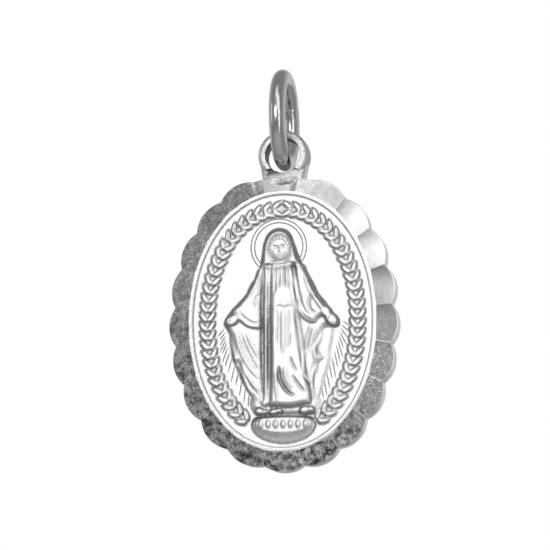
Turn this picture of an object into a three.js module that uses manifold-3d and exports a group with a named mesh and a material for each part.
// A scalloped oval medal of struck silver that hangs by its soldered eye from a round-wire ring.
// Millimetres, +Z up. The medal's face looks along -Y, and the ring's plane is square to it.
// The origin is inside the top of the ring, where a chain or cord carries it.
import * as THREE from "three";
import { mergeVertices } from "three/addons/utils/BufferGeometryUtils.js";
import Module from "manifold-3d";

const wasm = await Module();
wasm.setup();

// Jump ring
const ringInnerDiameter = 4.2;
const ringWireDiameter = 1.0;
const wireSides = 12;
const ringSteps = 40;

// Eye, and the neck that joins it to the blank
const eyeHoleDiameter = 2.1;
const eyeWall = 0.49;
const eyeThickness = 1.3;
const eyeChamfer = 0.12;
const eyePlay = 0.18; // free height under the ring's wire
const neckLength = 0.3; // metal between the hole and the top of the blank
const neckWidth = 2.7;
const scoopDiameter = 1.2; // round cut across the front of the neck
const scoopDepth = 0.12;

// Struck blank, measured over the cusps between its scallops
const medalWidth = 13.1;
const medalHeight = 17.44;
const ovalPower = 2.06; // squareness of the oval, where 2 is an ellipse
const scallopCount = 19;
const scallopRise = 0.42;
const neckSeat = 3.5; // width at the top that has no scallop
const edgeThickness = 1.3;
const backChamfer = 0.12;
const facetWidth = 0.96; // cut facets, from the cusps in to the border
const facetDrop = 0.28; // and their fall from the border to the edge
const borderWidth = 0.14;
const borderWall = 0.1; // width of its slope down to the field
const fieldRecess = 0.12;

// Heights of the relief over the field
const haloHeight = 0.06;
const rayHeight = 0.05;
const leafHeight = 0.12;
const mantleHeight = 0.14;
const baseHeight = 0.2;
const gownHeight = 0.22;
const sleeveHeight = 0.24;
const veilHeight = 0.25;
const plateBevel = 0.08;
const rayWidth = 0.13;
const buried = 0.2; // depth of each relief form under the field

// Leaf border between the field and its raised rim
const leafPairs = 56;
const leafLength = 0.72;
const leafWidth = 0.3;
const wreathSpread = 0.54; // between the centres of a pair
const wreathInset = 1.06; // from the facets to the stem
const wreathEndDegrees = 153; // lowest angle of the stems, from the top of the oval

const wireRadius = ringWireDiameter / 2;
const ringRadius = ringInnerDiameter / 2 + wireRadius;
const eyeHoleRadius = eyeHoleDiameter / 2;
const eyeRadius = eyeHoleRadius + eyeWall;
const eyeZ = eyeHoleRadius - ringInnerDiameter - ringWireDiameter - eyePlay;
const medalTop = eyeZ - eyeHoleRadius - neckLength;
const medalZ = medalTop - medalHeight / 2;
const edgeFront = -edgeThickness / 2;
const borderFront = edgeFront - facetDrop;
const fieldFront = borderFront + fieldRecess;
const fieldHalf = new THREE.Vector2(medalWidth / 2 - facetWidth, medalHeight / 2 - facetWidth);

// Plan of the relief: x to the right and z up from the medal's centre, in hundredths of the
// field's half-width and half-height.
const mantleOutline = [
  { x: -23, z: 44 }, { x: -30, z: 34 }, { x: -37, z: 24 }, { x: -43, z: 18 }, { x: -57, z: 8 },
  { x: -64, z: 1 }, { x: -58, z: -9 }, { x: -55, z: -20 }, { x: -50, z: -26 }, { x: -52, z: -31 },
  { x: -45, z: -32 }, { x: -46, z: -38 }, { x: -42, z: -45 }, { x: -35, z: -56 }, { x: -29, z: -63 },
  { x: -12, z: -66 }, { x: 14, z: -66 }, { x: 32, z: -63 }, { x: 34, z: -50 }, { x: 35, z: -38 },
  { x: 45, z: -28 }, { x: 36, z: -21 }, { x: 43, z: -11 }, { x: 53, z: -8 }, { x: 64, z: -6 },
  { x: 61, z: 2 }, { x: 53, z: 7 }, { x: 45, z: 17 }, { x: 37, z: 23 }, { x: 32, z: 31 },
  { x: 25, z: 39 }, { x: 19, z: 45 },
];
const gownOutline = [
  { x: -19, z: 40 }, { x: -22, z: 20 }, { x: -21, z: 0 }, { x: -21, z: -30 }, { x: -20, z: -64 },
  { x: 4, z: -65 }, { x: 31, z: -62 }, { x: 29, z: -42 }, { x: 22, z: -20 }, { x: 15, z: 5 },
  { x: 16, z: 22 }, { x: 17, z: 40 },
];
const leftSleeveOutline = [
  { x: -24, z: 38 }, { x: -34, z: 24 }, { x: -44, z: 15 }, { x: -54, z: 6 }, { x: -47, z: 1 },
  { x: -38, z: -4 }, { x: -25, z: -6 }, { x: -22, z: 10 },
];
const rightSleeveOutline = [
  { x: 17, z: 42 }, { x: 28, z: 33 }, { x: 37, z: 20 }, { x: 48, z: 9 }, { x: 43, z: 2 },
  { x: 33, z: -2 }, { x: 24, z: 1 }, { x: 14, z: 14 }, { x: 13, z: 30 },
];
const veilOutline = [
  { x: -2, z: 70 }, { x: -11, z: 68 }, { x: -18, z: 62 }, { x: -21, z: 53 }, { x: -23, z: 42 },
  { x: -6, z: 42 }, { x: 7, z: 44 }, { x: 20, z: 44 }, { x: 15, z: 53 }, { x: 11, z: 62 },
  { x: 5, z: 68 },
];
const baseOutline = [
  { x: -33, z: -77 }, { x: -20, z: -74 }, { x: 2, z: -73 }, { x: 24, z: -74 }, { x: 37, z: -77 },
  { x: 38, z: -84 }, { x: 28, z: -91 }, { x: 2, z: -95 }, { x: -25, z: -91 }, { x: -34, z: -84 },
];

// Rounded lumps: centre, half-width and half-height in the same shares, turn in degrees, height in
// millimetres over the field.
const lumps = [
  { name: "head", x: -1.5, z: 57, wide: 10, tall: 10, turn: 0, height: 0.48 },
  { name: "bust", x: 3, z: 17, wide: 13, tall: 10, turn: 0, height: 0.34 },
  { name: "left hand", x: -57, z: -1, wide: 8, tall: 6, turn: 20, height: 0.32 },
  { name: "right hand", x: 54, z: -1, wide: 10, tall: 5, turn: -35, height: 0.34 },
  { name: "left cloud", x: -22, z: -70, wide: 7, tall: 3.6, turn: 0, height: 0.24 },
  { name: "middle cloud", x: -4, z: -70, wide: 9, tall: 3.2, turn: 0, height: 0.22 },
  { name: "right cloud", x: 24, z: -68, wide: 10, tall: 3.6, turn: 8, height: 0.26 },
];

// Cloth folds: start, middle and end in the same shares, width and height in millimetres.
const folds = [
  { name: "mantle edge", x0: -14, z0: 41, x1: -16.5, z1: 5, x2: -15.5, z2: -64, wide: 0.3, height: 0.36 },
  { name: "chest left", x0: -3, z0: 40, x1: -4, z1: 30, x2: -3, z2: 20, wide: 0.2, height: 0.3 },
  { name: "chest right", x0: 6, z0: 41, x1: 8, z1: 25, x2: 12, z2: 10, wide: 0.22, height: 0.33 },
  { name: "skirt front", x0: 3, z0: 9, x1: 3, z1: -15, x2: 0, z2: -40, wide: 0.34, height: 0.32 },
  { name: "skirt knee", x0: 10, z0: 8, x1: 13, z1: -15, x2: 17, z2: -38, wide: 0.3, height: 0.3 },
  { name: "skirt left", x0: -5, z0: -20, x1: -5, z1: -40, x2: -3, z2: -63, wide: 0.3, height: 0.3 },
  { name: "hem sweep", x0: 2, z0: -38, x1: 8, z1: -50, x2: 16, z2: -58, wide: 0.3, height: 0.33 },
  { name: "hem right", x0: 17, z0: -38, x1: 24, z1: -48, x2: 30, z2: -60, wide: 0.26, height: 0.31 },
  { name: "left cuff", x0: -54, z0: 4, x1: -42, z1: -4, x2: -24, z2: -7, wide: 0.2, height: 0.33 },
  { name: "right cuff", x0: 10, z0: 16, x1: 22, z1: 0, x2: 43, z2: 2, wide: 0.2, height: 0.33 },
  { name: "left arm", x0: -25, z0: 34, x1: -30, z1: 18, x2: -46, z2: 8, wide: 0.3, height: 0.3 },
  { name: "right arm", x0: 21, z0: 38, x1: 30, z1: 22, x2: 46, z2: 8, wide: 0.36, height: 0.31 },
  { name: "mantle outer", x0: -55, z0: -8, x1: -49, z1: -28, x2: -29, z2: -60, wide: 0.24, height: 0.24 },
  { name: "mantle inner", x0: -48, z0: -8, x1: -38, z1: -26, x2: -23, z2: -38, wide: 0.22, height: 0.2 },
  { name: "mantle low", x0: -44, z0: -33, x1: -34, z1: -46, x2: -24, z2: -56, wide: 0.22, height: 0.2 },
  { name: "lining right", x0: 42, z0: -8, x1: 37, z1: -22, x2: 30, z2: -36, wide: 0.22, height: 0.2 },
  { name: "lining low", x0: 33, z0: -6, x1: 27, z1: -20, x2: 24, z2: -34, wide: 0.22, height: 0.26 },
];

// Rays from the open hands: root, and the first and last tips of each fan.
const rayFans = [
  { x: -62, z: -6, firstX: -74, firstZ: -12, lastX: -37, lastZ: -69, count: 9 },
  { x: 62, z: -8, firstX: 74, firstZ: -12, lastX: 40, lastZ: -66, count: 9 },
];

const halo = { x: -3.5, z: 57, radius: 1.68, band: 0.22 };
const studs = { count: 7, x: 2, z: -81.5, reach: 25, radius: 0.26, height: 0.32 };

// A closed geometry's solid.
function solid(geometry) {
  geometry.deleteAttribute("normal");
  geometry.deleteAttribute("uv");
  const merged = mergeVertices(geometry, 1e-5);
  const mesh = new wasm.Mesh({
    numProp: 3,
    vertProperties: merged.attributes.position.array,
    triVerts: new Uint32Array(merged.index.array),
  });
  return new wasm.Manifold(mesh);
}

// A solid's mesh as a geometry.
function geometryOf(body) {
  const mesh = body.getMesh();
  const geometry = new THREE.BufferGeometry();
  geometry.setAttribute("position", new THREE.BufferAttribute(mesh.vertProperties, 3));
  geometry.setIndex(new THREE.BufferAttribute(mesh.triVerts, 1));
  geometry.computeVertexNormals();
  return geometry;
}

// The closed skin through loops of equally many points, each end closed round its middle.
function loft(loops) {
  const sides = loops[0].length;
  const middles = [loops[0], loops[loops.length - 1]].map((loop) =>
    loop.reduce((sum, p) => sum.add(p), new THREE.Vector3()).divideScalar(sides));
  const points = [...loops.flat(), ...middles];
  const lastLoop = (loops.length - 1) * sides;
  const faces = [];
  for (let i = 0; i < sides; i += 1) {
    const next = (i + 1) % sides;
    for (let base = 0; base < lastLoop; base += sides) {
      faces.push(base + i, base + sides + next, base + next);
      faces.push(base + i, base + sides + i, base + sides + next);
    }
    faces.push(points.length - 2, i, next);
    faces.push(points.length - 1, lastLoop + next, lastLoop + i);
  }
  const geometry = new THREE.BufferGeometry().setFromPoints(points);
  return geometry.setIndex(faces);
}

// A point of an oval, at an angle clockwise from its top.
function ovalPoint(half, angle) {
  const x = Math.sign(Math.sin(angle)) * Math.abs(Math.sin(angle)) ** (2 / ovalPower);
  const z = Math.sign(Math.cos(angle)) * Math.abs(Math.cos(angle)) ** (2 / ovalPower);
  return new THREE.Vector2(x * half.x, z * half.y);
}

// Angles that divide an oval's arc into equal lengths.
function evenAngles(half, from, to, count) {
  const samples = 720;
  const angles = Array.from({ length: samples + 1 }, (_, i) => from + ((to - from) * i) / samples);
  const lengths = [0];
  for (let i = 1; i <= samples; i += 1) {
    const step = ovalPoint(half, angles[i]).distanceTo(ovalPoint(half, angles[i - 1]));
    lengths.push(lengths[i - 1] + step);
  }
  return Array.from({ length: count + 1 }, (_, k) => {
    const target = (lengths[samples] * k) / count;
    const i = Math.max(1, lengths.findIndex((length) => length >= target - 1e-9));
    const share = (target - lengths[i - 1]) / (lengths[i] - lengths[i - 1]);
    return angles[i - 1] + (angles[i] - angles[i - 1]) * share;
  });
}

// The blank's edge: a run with no scallop under the neck, and then each scallop as an arc on its
// chord. Each station has its point on the edge and its angle on the ovals inside.
function edgeStations() {
  const half = new THREE.Vector2(medalWidth / 2, medalHeight / 2);
  const seat = Math.asin((neckSeat / medalWidth) ** (ovalPower / 2));
  const cusps = evenAngles(half, seat, 2 * Math.PI - seat, scallopCount);
  const seatSteps = 4;
  const arcSteps = 6;
  const stations = [];
  for (let j = 0; j < seatSteps; j += 1) {
    const angle = -seat + (2 * seat * j) / seatSteps;
    stations.push({ angle, point: ovalPoint(half, angle) });
  }
  for (let k = 0; k < scallopCount; k += 1) {
    const start = ovalPoint(half, cusps[k]);
    const end = ovalPoint(half, cusps[k + 1]);
    const chord = end.clone().sub(start);
    const outward = new THREE.Vector2(-chord.y, chord.x).normalize();
    const arcRadius = (chord.lengthSq() / 4 + scallopRise ** 2) / (2 * scallopRise);
    for (let j = 0; j < arcSteps; j += 1) {
      const share = j / arcSteps;
      const along = chord.length() * (share - 0.5);
      const rise = Math.sqrt(arcRadius ** 2 - along ** 2) - arcRadius + scallopRise;
      const point = start.clone().addScaledVector(chord, share).addScaledVector(outward, rise);
      stations.push({ angle: cusps[k] + (cusps[k + 1] - cusps[k]) * share, point });
    }
  }
  return stations;
}

// The struck blank: plain back, scalloped wall, cut facets, raised border and sunk field.
function makeBlank() {
  const stations = edgeStations();
  const edge = (y, inset) => stations.map(({ point }) => {
    const shrink = 1 - inset / point.length();
    return new THREE.Vector3(point.x * shrink, y, point.y * shrink);
  });
  const oval = (y, inset) => stations.map(({ angle }) => {
    const half = new THREE.Vector2(fieldHalf.x - inset, fieldHalf.y - inset);
    const point = ovalPoint(half, angle);
    return new THREE.Vector3(point.x, y, point.y);
  });
  return solid(loft([
    edge(edgeThickness / 2, backChamfer),
    edge(edgeThickness / 2 - backChamfer, 0),
    edge(edgeFront, 0),
    oval(borderFront, 0),
    oval(borderFront, borderWidth),
    oval(fieldFront, borderWidth + borderWall),
  ]));
}

// A plan point from its shares of the field.
function planPoint(x, z) {
  return new THREE.Vector2((x / 100) * fieldHalf.x, (z / 100) * fieldHalf.y);
}

// A flat raised form of a closed outline, with bevelled edges.
function plate(outline, height) {
  const points = outline.map(({ x, z }) => {
    const point = planPoint(x, z);
    return new THREE.Vector3(point.x, point.y, 0);
  });
  const curve = new THREE.CatmullRomCurve3(points, true, "centripetal");
  const smooth = curve.getPoints(points.length * 2).slice(0, -1);
  return raise(new THREE.Shape(smooth.map((p) => new THREE.Vector2(p.x, p.y))), height);
}

// A plan shape raised over the field, towards the front.
function raise(shape, height) {
  const bevel = Math.min(plateBevel, height * 0.8);
  const geometry = new THREE.ExtrudeGeometry(shape, {
    depth: height + buried - 2 * bevel,
    bevelThickness: bevel,
    bevelSize: bevel,
    bevelOffset: -bevel,
    bevelSegments: 1,
    curveSegments: 12,
  });
  geometry.rotateX(Math.PI / 2);
  geometry.translate(0, fieldFront + buried - bevel, 0);
  return solid(geometry);
}

// A rounded lump on the field.
function lump(centre, wide, tall, turn, height, segments) {
  const geometry = new THREE.SphereGeometry(1, segments, Math.round(segments / 4) * 2);
  geometry.scale(wide, height, tall);
  geometry.rotateY(-turn);
  geometry.translate(centre.x, fieldFront, centre.y);
  return solid(geometry);
}

// A half-round ridge along a plan curve, thinning towards both ends.
function ridge(points, width, height, steps) {
  const section = [[-1, -1], [-1, 0], [-0.5, 0.87], [0.5, 0.87], [1, 0], [1, -1]];
  const curve = points.length > 2 ? new THREE.SplineCurve(points) : new THREE.LineCurve(...points);
  const loops = [];
  for (let k = 0; k <= steps; k += 1) {
    const centre = curve.getPoint(k / steps);
    const along = curve.getTangent(k / steps);
    const size = 0.35 + 0.65 * Math.sqrt(Math.sin((Math.PI * k) / steps));
    loops.push(section.map(([across, up]) => {
      const reach = across * size * width / 2;
      const y = up < 0 ? buried : -up * size * height;
      return new THREE.Vector3(centre.x - along.y * reach, fieldFront + y, centre.y + along.x * reach);
    }));
  }
  return solid(loft(loops));
}

// The halo's thin band behind the head.
function makeHalo() {
  const centre = planPoint(halo.x, halo.z);
  const shape = new THREE.Shape().absarc(centre.x, centre.y, halo.radius, 0, 2 * Math.PI);
  shape.holes.push(new THREE.Path().absarc(centre.x, centre.y, halo.radius - halo.band, 0, 2 * Math.PI));
  return raise(shape, haloHeight);
}

// Fans of thin rays under the open hands.
function makeRays() {
  return rayFans.flatMap((fan) => Array.from({ length: fan.count }, (_, k) => {
    const share = k / (fan.count - 1);
    const tip = planPoint(
      fan.firstX + (fan.lastX - fan.firstX) * share,
      fan.firstZ + (fan.lastZ - fan.firstZ) * share,
    );
    const root = planPoint(fan.x, fan.z);
    return ridge([root.lerp(tip, 0.12), tip], rayWidth, rayHeight, 1);
  }));
}

// Pairs of leaves that climb both sides of the border and meet at the top.
function makeWreath() {
  const half = new THREE.Vector2(fieldHalf.x - wreathInset, fieldHalf.y - wreathInset);
  const end = THREE.MathUtils.degToRad(wreathEndDegrees);
  const angles = evenAngles(half, -end, end, leafPairs);
  const leaves = [];
  for (let k = 0; k < leafPairs; k += 1) {
    const middle = (angles[k] + angles[k + 1]) / 2;
    const stem = ovalPoint(half, middle);
    const along = ovalPoint(half, angles[k + 1]).sub(ovalPoint(half, angles[k])).normalize();
    const climb = middle < 0 ? along : along.negate();
    for (const side of [-1, 1]) {
      const aside = new THREE.Vector2(-climb.y, climb.x).multiplyScalar((side * wreathSpread) / 2);
      const heading = Math.atan2(climb.y, climb.x) + side * THREE.MathUtils.degToRad(32);
      const centre = stem.clone().add(aside);
      leaves.push(lump(centre, leafLength / 2, leafWidth / 2, heading, leafHeight, 6));
    }
  }
  return leaves;
}

// The figure on its base, with plain studs where the base is widest.
function makeFigure() {
  const plates = [
    plate(mantleOutline, mantleHeight),
    plate(gownOutline, gownHeight),
    plate(leftSleeveOutline, sleeveHeight),
    plate(rightSleeveOutline, sleeveHeight),
    plate(veilOutline, veilHeight),
    plate(baseOutline, baseHeight),
  ];
  const rounded = lumps.map(({ x, z, wide, tall, turn, height }) => {
    const size = planPoint(wide, tall);
    return lump(planPoint(x, z), size.x, size.y, THREE.MathUtils.degToRad(turn), height, 12);
  });
  const creases = folds.map(({ x0, z0, x1, z1, x2, z2, wide, height }) =>
    ridge([planPoint(x0, z0), planPoint(x1, z1), planPoint(x2, z2)], wide, height, 5));
  const row = Array.from({ length: studs.count }, (_, k) => {
    const x = studs.x + studs.reach * ((2 * k) / (studs.count - 1) - 1);
    return lump(planPoint(x, studs.z), studs.radius, studs.radius, 0, studs.height, 8);
  });
  return [...plates, ...rounded, ...creases, ...row];
}

// The eye, a chamfered disc about Y, and the neck that widens down into the blank.
function makeEye() {
  const faceHalf = eyeThickness / 2;
  const disc = new THREE.LatheGeometry([
    new THREE.Vector2(0, -faceHalf),
    new THREE.Vector2(eyeRadius - eyeChamfer, -faceHalf),
    new THREE.Vector2(eyeRadius, eyeChamfer - faceHalf),
    new THREE.Vector2(eyeRadius, faceHalf - eyeChamfer),
    new THREE.Vector2(eyeRadius - eyeChamfer, faceHalf),
    new THREE.Vector2(0, faceHalf),
  ], 36);
  disc.translate(0, 0, eyeZ);
  const flankZ = eyeZ - eyeRadius * 0.3;
  const flankX = eyeRadius * 0.95;
  const rootZ = medalTop - scallopRise;
  const outline = new THREE.Shape([
    new THREE.Vector2(-flankX, flankZ),
    new THREE.Vector2(-neckWidth / 2, rootZ),
    new THREE.Vector2(neckWidth / 2, rootZ),
    new THREE.Vector2(flankX, flankZ),
  ]);
  const neck = new THREE.ExtrudeGeometry(outline, {
    depth: eyeThickness - 2 * eyeChamfer,
    bevelThickness: eyeChamfer,
    bevelSize: eyeChamfer,
    bevelOffset: -eyeChamfer,
    bevelSegments: 1,
  });
  neck.rotateX(Math.PI / 2);
  neck.translate(0, faceHalf - eyeChamfer, 0);
  return solid(disc).add(solid(neck));
}

// The hole's cutter, flared where it leaves each face.
function makeHoleCutter() {
  const faceHalf = eyeThickness / 2;
  const past = faceHalf + eyeChamfer;
  const flare = eyeHoleRadius + 2 * eyeChamfer;
  const cutter = new THREE.LatheGeometry([
    new THREE.Vector2(0, -past),
    new THREE.Vector2(flare, -past),
    new THREE.Vector2(eyeHoleRadius, eyeChamfer - faceHalf),
    new THREE.Vector2(eyeHoleRadius, faceHalf - eyeChamfer),
    new THREE.Vector2(flare, past),
    new THREE.Vector2(0, past),
  ], 32);
  return solid(cutter.translate(0, 0, eyeZ));
}

// The round cut that hollows the front of the neck between the eye and the border.
function makeScoop() {
  const scoop = new THREE.CylinderGeometry(scoopDiameter / 2, scoopDiameter / 2, neckWidth, 20);
  scoop.rotateZ(Math.PI / 2);
  const centreY = edgeFront - scoopDiameter / 2 + scoopDepth;
  return solid(scoop.translate(0, centreY, medalTop - scoopDepth));
}

const silver = new THREE.MeshStandardMaterial({ color: "#d6d7d8", roughness: 0.32, metalness: 1 });
const polishedWire = new THREE.MeshStandardMaterial({ color: "#cfd0d2", roughness: 0.12, metalness: 1 });

const relief = wasm.Manifold.union([...makeFigure(), makeHalo(), ...makeRays(), ...makeWreath()]);
const face = makeBlank().add(relief).translate([0, 0, medalZ]);
const body = face.add(makeEye()).subtract(makeHoleCutter()).subtract(makeScoop());
const medal = new THREE.Mesh(geometryOf(body.simplify(0.004)), silver);
medal.name = "medal";

const torus = new THREE.TorusGeometry(ringRadius, wireRadius, wireSides, ringSteps);
const jumpRing = new THREE.Mesh(torus, polishedWire);
jumpRing.name = "jump_ring";
jumpRing.rotation.y = Math.PI / 2;
jumpRing.position.z = -ringInnerDiameter / 2;

const group = new THREE.Group();
group.add(jumpRing, medal);

export default group;
